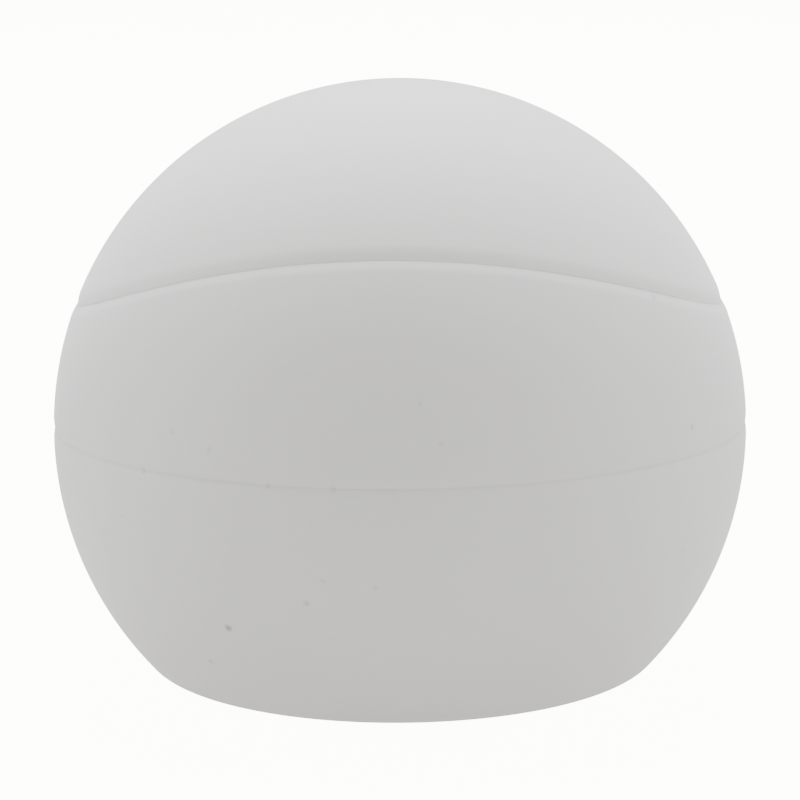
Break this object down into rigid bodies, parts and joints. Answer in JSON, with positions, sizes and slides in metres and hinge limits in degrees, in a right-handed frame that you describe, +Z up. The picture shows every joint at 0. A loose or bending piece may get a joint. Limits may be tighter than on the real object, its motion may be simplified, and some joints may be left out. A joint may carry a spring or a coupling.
{
  "type": "ball-shaped lidded pot",
  "caption": "Matt white ball-shaped pot the size of a billiard cue ball, with a flat base, an arched parting line and a twist-off lid over an inner cup.",
  "frame": {"origin": "centre of the foot pad's underside, on the surface that the pot stands on", "axes": "+Z up along the ball's axis; the lid's parting line is highest at -Y, the front, and at +Y, and lowest at -X and +X"},
  "size_m": [0.0572, 0.0572, 0.0484],
  "materials": {
    "soft_touch_shell": "dead matt, soft-touch",
    "inner_plastic": "moulded, half gloss",
    "cup_plastic": "smooth, half gloss",
    "seal_rubber": "soft, satin",
    "screw_steel": "zinc-plated",
    "foot_rubber": "matt"
  },
  "bodies": {
    "body": {"lower_shell": "soft_touch_shell", "upper_shell": "soft_touch_shell", "neck": "inner_plastic", "inner_cup": "cup_plastic", "base_screws": "screw_steel", "foot_pad": "foot_rubber"},
    "seal": {"seal_disc": "inner_plastic", "lid_seal": "seal_rubber"},
    "lid": {"lid_shell": "soft_touch_shell", "lid_liner": "inner_plastic"}
  },
  "joints": [
    {"name": "lid_rise", "type": "slide", "parent": "body", "child": "seal", "axis": [0, 0, 1], "range_m": [0, 0.0405]},
    {"name": "lid_turn", "type": "hinge", "parent": "seal", "child": "lid", "pos_m": [0, 0, 0.035], "axis": [0, 0, 1], "range_deg": [0, 360]}
  ],
  "couplings": [
    {"joint": "lid_rise", "follows": "lid_turn", "m_per_rad": 0.0064}
  ]
}
